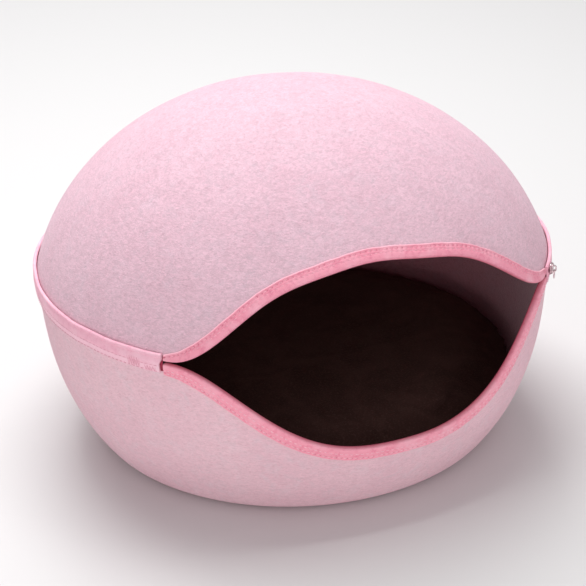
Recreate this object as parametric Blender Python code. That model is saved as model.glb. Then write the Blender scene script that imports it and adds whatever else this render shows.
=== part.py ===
"""Egg-shaped felt pet bed: two moulded felt shells closed by a zip round the back, with bound
lips round the eye-shaped opening at the front and a loose round cushion in the bottom.

Metres, +Z up. The origin is the middle of the base, on the floor. The opening faces -Y, and an
angle round the bed is measured from -Y towards +X.
"""

import math

import bmesh
import bpy
import numpy as np

# Felt shells
RADIUS = 0.230  # outside, at the zip line, so the bed is 460 mm across
HEIGHT = 0.3125  # top of the dome
ZIP_HEIGHT = 0.158  # the zip line above the floor
FELT = 0.003
DOME_LEAN = 0.0458  # the dome's widest level would lie this far below the zip line
DOME_POWER = 2.03  # 2 is an ellipse, more is squarer
BOWL_LEAN = 0.0111  # the bowl's widest level would lie this far above the zip line
BOWL_DEPTH = 0.2252  # the bowl would close this far below the zip line if it had no base
BOWL_POWER = 2.44
FLARE, FLARE_LENGTH = 0.0020, 0.015  # the bowl's rim turns out this much, most of it over this depth
BASE_ROUND = 0.010  # height of the rounded edge between wall and base
BASE_SPREAD = 0.7  # how far that edge runs in under the base, as a share of its run down the wall

# Opening at the front
CORNER = math.radians(50.4)  # from the middle of the front to each corner
BROW_RISE, BROW_FLAT, BROW_TAPER, BROW_SHIFT = 0.0682, 3.53, 2.83, -0.0442
BROW_WAVE, WAVE_LENGTH, WAVE_MIDDLE = 0.0021, 0.652, -0.058  # hand-cut waver of the brow's edge
LIP_DROP, LIP_FLAT, LIP_TAPER, LIP_SHIFT = 0.0823, 2.99, 2.57, 0.0198
DOME_EDGE = 0.0030  # cut edge of the dome above the zip line, where the zip runs
BOWL_EDGE = 0.0018  # cut edge of the bowl below it

# Tapes and zip
GAP = 0.0003  # between pieces that lie against each other
INNER_GAP = 0.0005  # on the hollow side of the felt, where flat faces bridge the curve
TAPE = 0.0008
BROW_BINDING = 0.0100, 0.0042  # width of each leg of the folded tape, at the middle and the corners
LIP_BINDING = 0.0108, 0.0085
BINDING_TAPER = 12  # a high power keeps the narrowing close to the corners
BINDING_END = 0.0005  # between the binding's end and the zip cover
FOLD_REACH, FOLD_LIFT = 0.7, 0.3  # of the tape's thickness, at the rounded corners of its fold
COVER_ABOVE, COVER_BELOW = 0.0078, 0.0090
COVER_THICK = 0.0020
COVER_PIPE = 0.0033  # thickness of the piped top edge
COVER_PIPE_WIDTH = 0.0032
COVER_HEM = 0.8  # thickness of the cover's lower edge, as a share of the rest
PIPE_START, PIPE_END, PIPE_EDGE = 0.2, 0.7, 0.7  # where the pipe is full, and its thickness at the edge
COVER_CREASE = 0.0005  # half the width of the facet over the zip line
CHAIN_ABOVE, CHAIN_BELOW = 0.0017, 0.0012
CHAIN_DEPTH = 0.0024  # across the slot between the shells
SLIDER_LENGTH, SLIDER_HEIGHT, SLIDER_THICK = 0.0092, 0.0100, 0.0028
SLIDER_LIFT = 0.0048  # middle of the slider above the zip line
SLIDER_ANGLE = CORNER + 0.026
BRIDGE_LENGTH, BRIDGE_WIDTH, BRIDGE_REACH = 0.0066, 0.0022, 0.0030
BRIDGE_BAR = 0.0011
PULL_LENGTH, PULL_WIDTH, PULL_THICK = 0.0085, 0.0046, 0.0010
PULL_BAR = 0.0009  # the bar across the top of the pull's hole
SLIDER_BEVEL, BRIDGE_BEVEL, PULL_BEVEL = 0.0009, 0.0005, 0.0003
BRIDGE_OVERLAP = 0.0006  # how far the bridge is sunk in the slider's face

# Cushion
CUSHION_RIM = 0.0535  # height of the cushion's widest level above the floor
CUSHION_TOP = 0.0675  # crown of its upper face
CUSHION_CLEAR = 0.0015  # to the wall around it
CUSHION_FOOT = 0.022  # how far its flat underside stops short of the wall
CUSHION_TUCK = 0.010  # how far its side draws in under the rim
CUSHION_CURL = 0.001  # rise of the underside at its edge
CUSHION_SIDE = 0.010, 0.004  # the side starts this far above the underside and ends this far below the rim
CUSHION_SQUARE, CUSHION_ARCH = 0.42, 1.1  # powers of the upper face's run and rise, 1 being an ellipse

# Steps of the surfaces
FRONT_STEPS, BACK_STEPS = 32, 44
DOME_ROWS, BOWL_ROWS = 9, 9
DOME_EDGE_ROWS, BOWL_EDGE_ROWS = (0.035, 0.075), (0.07, 0.15)  # of the way from the edge
CUSHION_STEPS, CUSHION_SIDE_ROWS, CUSHION_TOP_ROWS = 48, 4, 8


def colour(text):
    """Linear colour from an sRGB hex value."""
    value = np.array([int(text[i : i + 2], 16) for i in (0, 2, 4)]) / 255
    linear = np.where(value > 0.04045, ((value + 0.055) / 1.055) ** 2.4, value / 12.92)
    return (*(float(v) for v in linear), 1.0)


def material(name, hex_colour, roughness, metallic=0.0):
    finish = bpy.data.materials.new(name)
    finish.use_nodes = True
    shader = finish.node_tree.nodes["Principled BSDF"]
    shader.inputs["Base Color"].default_value = colour(hex_colour)
    shader.inputs["Roughness"].default_value = roughness
    shader.inputs["Metallic"].default_value = metallic
    return finish


def add_object(name, mesh, finish):
    mesh.materials.append(finish)
    mesh.shade_smooth()
    mesh.set_sharp_from_angle(angle=math.radians(40))
    piece = bpy.data.objects.new(name, mesh)
    bpy.context.collection.objects.link(piece)
    return piece


def dome_profile(height):
    """Outer radius of the dome at a height above the zip line: an ellipse-like arch."""
    full = HEIGHT - ZIP_HEIGHT + DOME_LEAN
    start = 1 - (DOME_LEAN / full) ** DOME_POWER
    here = 1 - np.clip((height + DOME_LEAN) / full, 0, 1) ** DOME_POWER
    return RADIUS * (here / start) ** (1 / DOME_POWER)


def bowl_profile(depth):
    """Outer radius of the bowl at a depth below the zip line: the same arch and a flared rim."""
    full = BOWL_DEPTH + BOWL_LEAN
    start = 1 - (BOWL_LEAN / full) ** BOWL_POWER
    here = 1 - ((depth + BOWL_LEAN) / full) ** BOWL_POWER
    return (RADIUS - FLARE) * (here / start) ** (1 / BOWL_POWER) + FLARE * np.exp(-depth / FLARE_LENGTH)


def wall_radius(height):
    """Outer radius at a height from the zip line, on the dome above it and the bowl below."""
    return np.where(height > 0, dome_profile(np.maximum(height, 0)), bowl_profile(np.maximum(-height, 0)))


def on_wall(angle, height, lift):
    """Points a distance lift outside the felt's outer face, along its normal."""
    step = 1e-5
    radius = wall_radius(height)
    side = np.where(height > 0, step, -step)
    slope = (wall_radius(height + side) - radius) / side
    length = np.sqrt(1 + slope**2)
    out = radius + lift / length
    up = ZIP_HEIGHT + height - lift * slope / length
    return np.stack(np.broadcast_arrays(out * np.sin(angle), -out * np.cos(angle), up), -1)


def ring(angles, radius, height):
    """Points round a level circle."""
    return np.stack([radius * np.sin(angles), -radius * np.cos(angles), np.full(len(angles), height)], -1)


def lip_height(angle, rise, flat, taper, shift):
    """Rise of a lip at an angle: full at the middle, tapering to nothing at both corners."""
    along = angle / CORNER
    across = np.clip(np.abs(along - shift * (1 - along**2)), 0, 1)
    return np.where(np.abs(along) < 1, rise * (1 - across**flat) ** taper, 0.0)


def brow(angle):
    """Height of the dome's cut edge above the zip line, with a slight waver along it."""
    along = angle / CORNER
    waver = BROW_WAVE * np.cos(2 * math.pi * (along - WAVE_MIDDLE) / WAVE_LENGTH)
    waver = np.where(np.abs(along) < 1, waver * (1 - along**2), 0.0)
    return DOME_EDGE + lip_height(angle, BROW_RISE, BROW_FLAT, BROW_TAPER, BROW_SHIFT) + waver


def lip(angle):
    """Height of the bowl's cut edge, which is below the zip line and so negative."""
    return -BOWL_EDGE - lip_height(angle, LIP_DROP, LIP_FLAT, LIP_TAPER, LIP_SHIFT)


def station_angles():
    """Angles once round the bed, with closer steps across the opening."""
    front = np.linspace(-CORNER, CORNER, FRONT_STEPS, endpoint=False)
    back = np.linspace(CORNER, 2 * math.pi - CORNER, BACK_STEPS, endpoint=False)
    return np.concatenate([front, back])


def rows_from_edge(close, count):
    """Shares of the way from a shell's edge: close rows under the binding, then even ones."""
    return np.concatenate([[0], close, np.linspace(close[-1], 1, count)[1:]])


def grid_mesh(name, rows, pole=None):
    """Mesh of rings of points, bottom ring first, closed by fans at a pole if there is one."""
    shell = bmesh.new()
    rings = [[shell.verts.new(point) for point in row] for row in rows]
    count = len(rings[0])
    for lower, upper in zip(rings, rings[1:]):
        for i in range(count):
            j = (i + 1) % count
            shell.faces.new((lower[i], lower[j], upper[j], upper[i]))
    if pole is not None:
        tip = shell.verts.new(pole)
        for i in range(count):
            shell.faces.new((rings[-1][i], rings[-1][(i + 1) % count], tip))
    mesh = bpy.data.meshes.new(name)
    shell.to_mesh(mesh)
    shell.free()
    return mesh


def thicken(piece):
    """Felt thickness, laid inwards from the outer face."""
    wall = piece.modifiers.new("Felt thickness", "SOLIDIFY")
    wall.thickness = FELT
    wall.offset = -1
    wall.use_even_offset = True
    wall.use_rim = True


def make_dome(finish):
    angles = station_angles()
    power = 2 / DOME_POWER
    full = HEIGHT - ZIP_HEIGHT + DOME_LEAN
    start = np.arcsin(((brow(angles) + DOME_LEAN) / full) ** (1 / power))
    rows = []
    for share in rows_from_edge(DOME_EDGE_ROWS, DOME_ROWS)[:-1]:
        turn = start + (math.pi / 2 - start) * share
        rows.append(on_wall(angles, full * np.sin(turn) ** power - DOME_LEAN, 0))
    mesh = grid_mesh("dome_shell", rows, pole=(0, 0, HEIGHT))
    piece = add_object("dome_shell", mesh, finish)
    thicken(piece)


def base_curve():
    """Radii and heights of the rounded edge from the wall down to the flat base, a soft curve
    whose middle point is where the wall's own slope would meet the floor."""
    step = 0.001
    wall = float(bowl_profile(ZIP_HEIGHT - BASE_ROUND))
    slope = (wall - float(bowl_profile(ZIP_HEIGHT - BASE_ROUND + step))) / step
    corner = wall - slope * BASE_ROUND
    flat = corner - (wall - corner + BASE_ROUND) * BASE_SPREAD
    share = np.array([0.25, 0.5, 0.75, 1.0])
    radii = (1 - share) ** 2 * wall + 2 * share * (1 - share) * corner + share**2 * flat
    return zip(radii, (1 - share) ** 2 * BASE_ROUND)


def make_bowl(finish):
    angles = station_angles()
    edge = lip(angles)
    foot = BASE_ROUND - ZIP_HEIGHT
    shares = rows_from_edge(BOWL_EDGE_ROWS, BOWL_ROWS)
    rows = [on_wall(angles, edge + (foot - edge) * share, 0) for share in shares]
    rows += [ring(angles, radius, height) for radius, height in base_curve()]
    mesh = grid_mesh("bowl_shell", rows, pole=(0, 0, 0))
    mesh.flip_normals()
    piece = add_object("bowl_shell", mesh, finish)
    thicken(piece)


def strip_solid(name, under, over, finish):
    """Closed solid between two matching faces, each a list of lines of points along the strip."""
    solid = bmesh.new()
    low = [[solid.verts.new(point) for point in line] for line in under]
    high = [[solid.verts.new(point) for point in line] for line in over]
    quads = []
    for face in (low, high):
        for line, beside in zip(face, face[1:]):
            quads += zip(line, line[1:], beside[1:], beside)
    for edge in (0, -1):
        quads += zip(low[edge], low[edge][1:], high[edge][1:], high[edge])
    for end in (0, -1):
        foot, top = [line[end] for line in low], [line[end] for line in high]
        quads += zip(foot, foot[1:], top[1:], top)
    for quad in quads:
        solid.faces.new(quad)
    bmesh.ops.recalc_face_normals(solid, faces=solid.faces[:])
    mesh = bpy.data.meshes.new(name)
    solid.to_mesh(mesh)
    solid.free()
    return add_object(name, mesh, finish)


def make_binding(name, edge, towards_felt, widths, finish):
    """Tape folded over a lip: a U whose legs follow the felt's two faces away from its edge."""
    inset = BINDING_END / RADIUS
    angles = station_angles()[:FRONT_STEPS]
    angles = np.concatenate([[-CORNER + inset], angles[1:], [CORNER - inset]])
    height = edge(angles)
    step = 1e-4
    radius = wall_radius(height)
    # Slopes of the wall's profile and of the edge, and the edge's tilt in the felt's own surface
    grow = (wall_radius(height + step) - wall_radius(height - step)) / (2 * step)
    steep = (edge(angles + step) - edge(angles - step)) / (2 * step)
    run = steep * np.sqrt(1 + grow**2) / radius
    lean = 1 / np.sqrt(1 + run**2)
    wide, narrow = widths
    width = wide - (wide - narrow) * np.abs(angles / CORNER) ** BINDING_TAPER
    outside, inside = GAP, -FELT - INNER_GAP
    # Share of the width over the felt, reach past its edge, and lift off the felt's outer face
    lining = (
        (1.0, 0.0, outside),
        (0.5, 0.0, outside),
        (0.0, 0.0, outside),
        (0.0, GAP, outside),
        (0.0, GAP, -FELT / 2),
        (0.0, GAP, inside),
        (0.0, 0.0, inside),
        (0.5, 0.0, inside),
        (1.0, 0.0, inside),
    )
    face = (
        (1.0, 0.0, outside + TAPE),
        (0.5, 0.0, outside + TAPE),
        (0.0, 0.0, outside + TAPE),
        (0.0, GAP + TAPE * FOLD_REACH, outside + TAPE * FOLD_LIFT),
        (0.0, GAP + TAPE, -FELT / 2),
        (0.0, GAP + TAPE * FOLD_REACH, inside - TAPE * FOLD_LIFT),
        (0.0, 0.0, inside - TAPE),
        (0.5, 0.0, inside - TAPE),
        (1.0, 0.0, inside - TAPE),
    )

    def over_felt(away, lift):
        """Points this far from the edge over the felt, square to the edge."""
        turn = -away * towards_felt * lean * run / radius
        up = away * towards_felt * lean / np.sqrt(1 + grow**2)
        return on_wall(angles + turn, height + up, lift)

    probe = 0.001
    into_opening = (over_felt(0, 0) - over_felt(probe, 0)) / probe

    def lines(section):
        return [over_felt(share * width, lift) + reach * into_opening for share, reach, lift in section]

    strip_solid(name, lines(lining), lines(face), finish)


def zip_angles():
    """Angles along the zip, from the right corner round the back to the left one."""
    return np.linspace(CORNER, 2 * math.pi - CORNER, BACK_STEPS + 1)


def make_zip_cover(finish):
    angles = zip_angles()
    pipe_foot = COVER_ABOVE - COVER_PIPE_WIDTH
    # Height above the zip line and thickness, with the piped edge at the top
    profile = (
        (-COVER_BELOW, COVER_THICK * COVER_HEM),
        (-COVER_BELOW / 2, COVER_THICK),
        (-COVER_CREASE, COVER_THICK),
        (COVER_CREASE, COVER_THICK),
        (pipe_foot, COVER_THICK),
        (pipe_foot + COVER_PIPE_WIDTH * PIPE_START, COVER_PIPE),
        (pipe_foot + COVER_PIPE_WIDTH * PIPE_END, COVER_PIPE),
        (COVER_ABOVE, COVER_PIPE * PIPE_EDGE),
    )
    levels = [np.full(len(angles), height) for height, _ in profile]
    under = [on_wall(angles, level, GAP) for level in levels]
    over = [on_wall(angles, level, thick) for level, (_, thick) in zip(levels, profile)]
    strip_solid("zip_cover", under, over, finish)


def make_zip_chain(finish):
    angles = zip_angles()
    radii = (RADIUS - GAP - CHAIN_DEPTH, RADIUS - GAP)
    under = [ring(angles, radius, ZIP_HEIGHT - CHAIN_BELOW) for radius in radii]
    over = [ring(angles, radius, ZIP_HEIGHT + CHAIN_ABOVE) for radius in radii]
    strip_solid("zip_chain", under, over, finish)


def box(name, size, finish, bevel=0.0):
    """Box centred on its object's origin, with its edges rounded."""
    mesh = bpy.data.meshes.new(name)
    shape = bmesh.new()
    bmesh.ops.create_cube(shape, size=1)
    bmesh.ops.scale(shape, vec=size, verts=shape.verts)
    if bevel:
        bmesh.ops.bevel(shape, geom=shape.edges[:], offset=bevel, segments=2, profile=0.5, affect="EDGES")
    shape.to_mesh(mesh)
    shape.free()
    return add_object(name, mesh, finish)


def boolean(piece, cutter, operation):
    step = piece.modifiers.new(operation.title(), "BOOLEAN")
    step.operation = operation
    step.object = cutter
    cutter.hide_render = True
    cutter.display_type = "WIRE"


def make_slider(finish):
    """Slider body with a bridge on its face, and the pull that hangs from the bridge."""
    # Local X runs along the zip, local Y points away from the bed
    anchor = bpy.data.objects.new("slider_place", None)
    bpy.context.collection.objects.link(anchor)
    anchor.rotation_euler = (0, 0, SLIDER_ANGLE + math.pi)
    anchor.location = (
        RADIUS * math.sin(SLIDER_ANGLE),
        -RADIUS * math.cos(SLIDER_ANGLE),
        ZIP_HEIGHT + SLIDER_LIFT,
    )
    body_back = COVER_THICK + GAP
    body_face = body_back + SLIDER_THICK

    slider = box("zip_slider", (SLIDER_LENGTH, SLIDER_THICK, SLIDER_HEIGHT), finish, SLIDER_BEVEL)
    slider.parent = anchor
    slider.location.y = body_back + SLIDER_THICK / 2
    bridge_size = (BRIDGE_WIDTH, BRIDGE_REACH + BRIDGE_OVERLAP, BRIDGE_LENGTH)
    bridge = box("bridge", bridge_size, finish, BRIDGE_BEVEL)
    bridge.parent = anchor
    bridge.location.y = body_face + (BRIDGE_REACH - BRIDGE_OVERLAP) / 2
    boolean(slider, bridge, "UNION")
    window_size = (2 * BRIDGE_WIDTH, BRIDGE_REACH - BRIDGE_BAR, BRIDGE_LENGTH - 2 * BRIDGE_BAR)
    window = box("bridge_window", window_size, finish)
    window.parent = anchor
    window.location.y = body_face + (BRIDGE_REACH - BRIDGE_BAR) / 2
    boolean(slider, window, "DIFFERENCE")

    # The pull hangs flat against the slider's face, and the bridge's lower post passes through its hole
    pull = box("zip_pull", (PULL_WIDTH, PULL_THICK, PULL_LENGTH), finish, PULL_BEVEL)
    pull.parent = anchor
    depth = body_face + (BRIDGE_REACH - BRIDGE_BAR) / 2
    post_top = -BRIDGE_LENGTH / 2 + BRIDGE_BAR
    pull.location = (0, depth, post_top + GAP + PULL_BAR - PULL_LENGTH / 2)
    hole_height = BRIDGE_BAR + 2 * GAP
    hole = box("pull_hole", (BRIDGE_WIDTH + 2 * GAP, 2 * PULL_THICK, hole_height), finish)
    hole.parent = anchor
    hole.location = (0, depth, post_top + GAP - hole_height / 2)
    boolean(pull, hole, "DIFFERENCE")


def make_cushion(finish):
    """Round filled cushion: it fills the bowl to its rim and crowns above it."""
    rim_radius = float(bowl_profile(ZIP_HEIGHT - CUSHION_RIM)) - FELT - 2 * CUSHION_CLEAR
    bottom = FELT + GAP
    foot_radius = float(bowl_profile(ZIP_HEIGHT - BASE_ROUND)) - FELT - CUSHION_FOOT
    profile = [(0.0, bottom), (foot_radius / 2, bottom), (foot_radius, bottom + CUSHION_CURL)]
    side_start, side_end = CUSHION_SIDE
    for height in np.linspace(bottom + side_start, CUSHION_RIM - side_end, CUSHION_SIDE_ROWS):
        wall = float(bowl_profile(ZIP_HEIGHT - height)) - FELT - 2 * CUSHION_CLEAR
        tuck = CUSHION_TUCK * ((CUSHION_RIM - height) / CUSHION_RIM) ** 2
        profile.append((wall - tuck, height))
    # The upper face: a squared-off arch from the rim to the crown
    for turn in np.linspace(0, math.pi / 2, CUSHION_TOP_ROWS + 1)[1:]:
        radius = rim_radius * math.cos(turn) ** CUSHION_SQUARE
        rise = (CUSHION_TOP - CUSHION_RIM) * math.sin(turn) ** CUSHION_ARCH
        profile.append((radius, CUSHION_RIM + rise))
    solid = bmesh.new()
    points = [solid.verts.new((radius if radius > 1e-6 else 0.0, 0, height)) for radius, height in profile]
    edges = [solid.edges.new(pair) for pair in zip(points, points[1:])]
    bmesh.ops.spin(
        solid, geom=points + edges, cent=(0, 0, 0), axis=(0, 0, 1), angle=2 * math.pi, steps=CUSHION_STEPS
    )
    bmesh.ops.remove_doubles(solid, verts=solid.verts[:], dist=1e-5)
    bmesh.ops.recalc_face_normals(solid, faces=solid.faces[:])
    mesh = bpy.data.meshes.new("cushion")
    solid.to_mesh(mesh)
    solid.free()
    add_object("cushion", mesh, finish)


def main():
    for item in list(bpy.data.objects):
        bpy.data.objects.remove(item, do_unlink=True)
    felt = material("Moulded wool felt", "D8B2BE", 0.95)
    lower_felt = material("Moulded wool felt, lower", "D5ACB8", 0.95)
    tape = material("Woven binding tape", "E090A4", 0.75)
    lower_tape = material("Woven binding tape, lower", "DE8DA1", 0.75)
    cover = material("Zip cover tape", "E6B4C4", 0.75)
    chain = material("Nylon zip chain", "D990A2", 0.5)
    metal = material("Nickel-plated zip metal", "C8BEC2", 0.3, 1.0)
    cloth = material("Brushed brown cloth", "21150F", 0.95)
    make_dome(felt)
    make_bowl(lower_felt)
    make_binding("dome_binding", brow, 1, BROW_BINDING, tape)
    make_binding("bowl_binding", lip, -1, LIP_BINDING, lower_tape)
    make_zip_cover(cover)
    make_zip_chain(chain)
    make_slider(metal)
    make_cushion(cloth)


main()
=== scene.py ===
import math

import bpy
import numpy as np
from mathutils import Matrix


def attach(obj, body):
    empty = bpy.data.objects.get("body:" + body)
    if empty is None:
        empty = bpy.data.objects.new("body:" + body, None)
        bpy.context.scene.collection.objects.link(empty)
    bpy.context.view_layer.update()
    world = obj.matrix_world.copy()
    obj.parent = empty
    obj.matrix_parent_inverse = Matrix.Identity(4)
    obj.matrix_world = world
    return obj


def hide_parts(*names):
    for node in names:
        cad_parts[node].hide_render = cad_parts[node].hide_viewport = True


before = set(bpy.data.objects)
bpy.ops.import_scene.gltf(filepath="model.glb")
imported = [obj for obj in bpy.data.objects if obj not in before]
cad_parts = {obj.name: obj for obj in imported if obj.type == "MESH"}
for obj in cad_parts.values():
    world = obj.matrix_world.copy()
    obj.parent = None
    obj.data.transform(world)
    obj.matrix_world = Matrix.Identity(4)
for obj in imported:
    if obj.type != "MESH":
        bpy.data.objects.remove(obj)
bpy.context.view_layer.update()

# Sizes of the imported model
RADIUS = 0.230
HEIGHT = 0.3125
ZIP_HEIGHT = 0.158
FELT = 0.003
DOME_LEAN, DOME_POWER = 0.0458, 2.03
BOWL_LEAN, BOWL_DEPTH, BOWL_POWER = 0.0111, 0.2252, 2.44
FLARE, FLARE_LENGTH = 0.0020, 0.015
BASE_ROUND, BASE_SPREAD = 0.010, 0.7
CORNER = math.radians(50.4)
BROW_RISE, BROW_FLAT, BROW_TAPER, BROW_SHIFT = 0.0682, 3.53, 2.83, -0.0442
BROW_WAVE, WAVE_LENGTH, WAVE_MIDDLE = 0.0021, 0.652, -0.058
LIP_DROP, LIP_FLAT, LIP_TAPER, LIP_SHIFT = 0.0823, 2.99, 2.57, 0.0198
DOME_EDGE, BOWL_EDGE = 0.0030, 0.0018
GAP, INNER_GAP = 0.0003, 0.0005
TAPE = 0.0008
BROW_BINDING, LIP_BINDING = (0.0100, 0.0042), (0.0108, 0.0085)  # leg widths at middle and corner
BINDING_TAPER = 12
COVER_BELOW = 0.0090  # lower hem of the zip cover, below the zip line
SLIDER_ANGLE, SLIDER_LIFT = CORNER + 0.026, 0.0048
SLIDER_BACK, SLIDER_FACE = 0.0023, 0.0051  # distances from the zip line outwards
PULL_LENGTH, PULL_HALF_WIDTH, PULL_TOP, PULL_STAND = 0.0085, 0.0023, -0.0010, 0.00095
CUSHION_RIM, CUSHION_TOP = 0.0535, 0.0675
CUSHION_CLEAR, CUSHION_FOOT, CUSHION_TUCK = 0.0015, 0.022, 0.010

# Sizes that only the eye needs
STITCH_PITCH, STITCH_LENGTH, THREAD = 0.0044, 0.0030, 0.00034
BROW_ROW, LIP_ROW = 0.0046, 0.0040  # second stitched row of each binding, from the cut edge
HEM_TO_STITCH = 0.0026
COVER_SEAM, COVER_HEM_ROW = -0.0022, -0.0075  # heights of the cover's two sewn lines
COVER_START, COVER_END = CORNER + 0.002, 2 * math.pi - CORNER - 0.0075  # angles of its ends
CORNER_INSET = 0.0042  # turn by which a binding stops short of the corner
TOOTH_PITCH, TOOTH = 0.0015, 0.00055
CUSHION_SWELL = 0.005  # most that cloth pressure may move the cushion's surface
CLOTH_CLEAR = 0.0016
AROUND = 460  # points round each felt shell
STATION = 0.0009  # step along a tape
STITCH_STATIONS = 7
MILLI = 1000  # millimetres in a metre, for the marks that materials read
FAR_FROM_HEM = 0.05  # stands for no hem in the marks

# Bar tacks on the cover: start and width before its left end, lower and upper height, strokes
TACKS = ((0.0190, 0.0125, -0.0075, 0.0003, 10), (0.0040, 0.0105, -0.0083, -0.0036, 8))

# Camera solved against the outline of the bed in the photo
CAMERA_PLACE = (-0.58308809, -1.40400422, 0.85553653)
CAMERA_BACK = (-0.34477582, -0.83094578, 0.43664488)
CAMERA_ROLL = math.radians(-2.1395)
CAMERA_LENS, CAMERA_SENSOR = 113.998, 36.0

# Lamps: name, place, target, width and height, watts
LAMPS = (
    ("overhead", (0.05, 0.45, 1.8), (0, 0, 0.15), (1.1, 1.1), 27),
    ("behind", (0.1, 2.4, 2.2), (0, 0.9, 0), (2.4, 1.4), 33),
    ("front", (-1.6, -1.8, 0.28), (0, 0, 0.10), (1.5, 0.4), 11),
    ("fill", (-0.30, -1.70, 0.50), (0, 0, 0.10), (0.5, 0.3), 2.4),
    ("right", (1.7, -1.3, 0.14), (0, 0, 0.06), (1.2, 0.25), 4.5),
)
SKY = 0.50  # strength of the white sky


# Surfaces of the felt

def dome_profile(height):
    """Outer radius of the dome: the arch (1 - u^p)^(1/p), u going from its widest level to its top."""
    full = HEIGHT - ZIP_HEIGHT + DOME_LEAN
    start = 1 - (DOME_LEAN / full) ** DOME_POWER
    here = 1 - np.clip((height + DOME_LEAN) / full, 0, 1) ** DOME_POWER
    return RADIUS * (here / start) ** (1 / DOME_POWER)


def bowl_profile(depth):
    """Outer radius of the bowl from the zip line down: the same arch, and a flare that fades as
    exp(-depth / length)."""
    full = BOWL_DEPTH + BOWL_LEAN
    start = 1 - (BOWL_LEAN / full) ** BOWL_POWER
    here = 1 - ((depth + BOWL_LEAN) / full) ** BOWL_POWER
    return (RADIUS - FLARE) * (here / start) ** (1 / BOWL_POWER) + FLARE * np.exp(-depth / FLARE_LENGTH)


def wall_radius(height):
    """Outer radius of the felt at a height from the zip line, which is below zero on the bowl."""
    return np.where(height > 0, dome_profile(np.maximum(height, 0)), bowl_profile(np.maximum(-height, 0)))


def unevenness(angle, height):
    """Hand-moulded unevenness: three crossing sine waves, 0.4 mm together, fading to none at the top and
    base."""
    waves = (
        0.00020 * np.sin(5 * angle + 22 * height + 0.6)
        + 0.00013 * np.sin(9 * angle - 31 * height + 2.1)
        + 0.00009 * np.sin(14 * angle + 47 * height + 4.0)
    )
    off_top = np.clip((wall_radius(height) - 0.03) / 0.10, 0, 1)
    off_base = np.clip((height + ZIP_HEIGHT - 0.012) / 0.03, 0, 1)
    return waves * (off_top * off_base)


def in_space(radius, angle, up):
    """Points at a radius from the axis, an angle round the bed and a height above the floor."""
    return np.stack(np.broadcast_arrays(radius * np.sin(angle), -radius * np.cos(angle), up), -1)


def on_wall(angle, height, lift):
    """Points a distance lift outside the felt's outer face, along its normal."""
    step = 1e-5
    radius = wall_radius(height)
    side = np.where(height > 0, step, -step)
    slope = np.clip((wall_radius(height + side) - radius) / side, -60, 60)
    length = np.sqrt(1 + slope**2)
    lift = lift + unevenness(angle, height)
    return in_space(radius + lift / length, angle, ZIP_HEIGHT + height - lift * slope / length)


def lip_height(angle, rise, flat, taper, shift):
    """Rise times (1 - s^flat)^taper, where s runs from 0 at the middle to 1 at both corners."""
    along = angle / CORNER
    across = np.clip(np.abs(along - shift * (1 - along**2)), 0, 1)
    return np.where(np.abs(along) < 1, rise * (1 - across**flat) ** taper, 0.0)


def brow(angle):
    """Height of the dome's cut edge: the lip's arch and a cosine waver that fades to the corners."""
    along = angle / CORNER
    waver = BROW_WAVE * np.cos(2 * math.pi * (along - WAVE_MIDDLE) / WAVE_LENGTH)
    waver = np.where(np.abs(along) < 1, waver * (1 - along**2), 0.0)
    return DOME_EDGE + lip_height(angle, BROW_RISE, BROW_FLAT, BROW_TAPER, BROW_SHIFT) + waver


def lip(angle):
    """Height of the bowl's cut edge, which is below the zip line and so negative."""
    return -BOWL_EDGE - lip_height(angle, LIP_DROP, LIP_FLAT, LIP_TAPER, LIP_SHIFT)


# Meshes from grids of points

def power(value, exponent):
    """A power that keeps its sign."""
    return np.sign(value) * np.abs(value) ** exponent


def full_turn(count):
    """Angles of a row of points that closes on itself."""
    return np.linspace(-math.pi, math.pi, count, endpoint=False)[None]


def signed_volume(points, faces):
    """Six times the volume within the faces, positive when they point outwards."""
    a, b, c = (points[faces[:, i]] for i in (0, 1, 2))
    volume = np.einsum("ij,ij->i", a, np.cross(b, c)).sum()
    if faces.shape[1] == 4:
        d = points[faces[:, 3]]
        volume += np.einsum("ij,ij->i", a, np.cross(c, d)).sum()
    return volume


def add_piece(name, points, faces, materials, solid, sharp=40):
    """Mesh object at the origin from points and lists of faces, which are turned to point outwards.
    It stands for a CAD solid, or for none."""
    if sum(signed_volume(points, part) for part in faces) < 0:
        faces = [part[:, ::-1] for part in faces]
    mesh = bpy.data.meshes.new(name)
    mesh.from_pydata(points.tolist(), [], [face for part in faces for face in part.tolist()])
    mesh.shade_smooth()
    mesh.set_sharp_from_angle(angle=math.radians(sharp))
    for material in materials:
        mesh.materials.append(material)
    piece = bpy.data.objects.new(name, mesh)
    bpy.context.collection.objects.link(piece)
    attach(piece, "root")
    if solid:
        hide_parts(solid)
    return piece


def quads(rows, columns, wrap_rows=False):
    """Faces of a grid whose columns close on themselves, and whose rows may too."""
    last = rows if wrap_rows else rows - 1
    i, j = np.meshgrid(np.arange(last), np.arange(columns), indexing="ij")
    below, beside = (i + 1) % rows, (j + 1) % columns
    here, there = i * columns, below * columns
    grid = np.stack([here + j, here + beside, there + beside, there + j], -1)
    return grid.reshape(-1, 4)


def capped(points):
    """Faces of a strip whose stations are closed sections, with both ends closed by ladders of quads."""
    stations, around = points.shape[:2]
    i = np.arange(around // 2 - 1)
    ladder = np.stack([i, i + 1, around - 2 - i, around - 1 - i], -1)
    end = (stations - 1) * around
    return np.concatenate([quads(stations, around), ladder, ladder[:, ::-1] + end])


def strips(points):
    """Points and faces of many equal closed strips, from an array strip x station x around x 3."""
    count, stations, around = points.shape[:3]
    one = capped(points[0])
    every = one[None] + (np.arange(count) * stations * around)[:, None, None]
    return points.reshape(-1, 3), every.reshape(-1, 4)


def joined(parts):
    """Points and lists of faces of several shapes as one shape."""
    points, faces, start = [], [], 0
    for got, lists in parts:
        points.append(got)
        faces += [part + start for part in lists]
        start += len(got)
    return np.concatenate(points), faces


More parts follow.
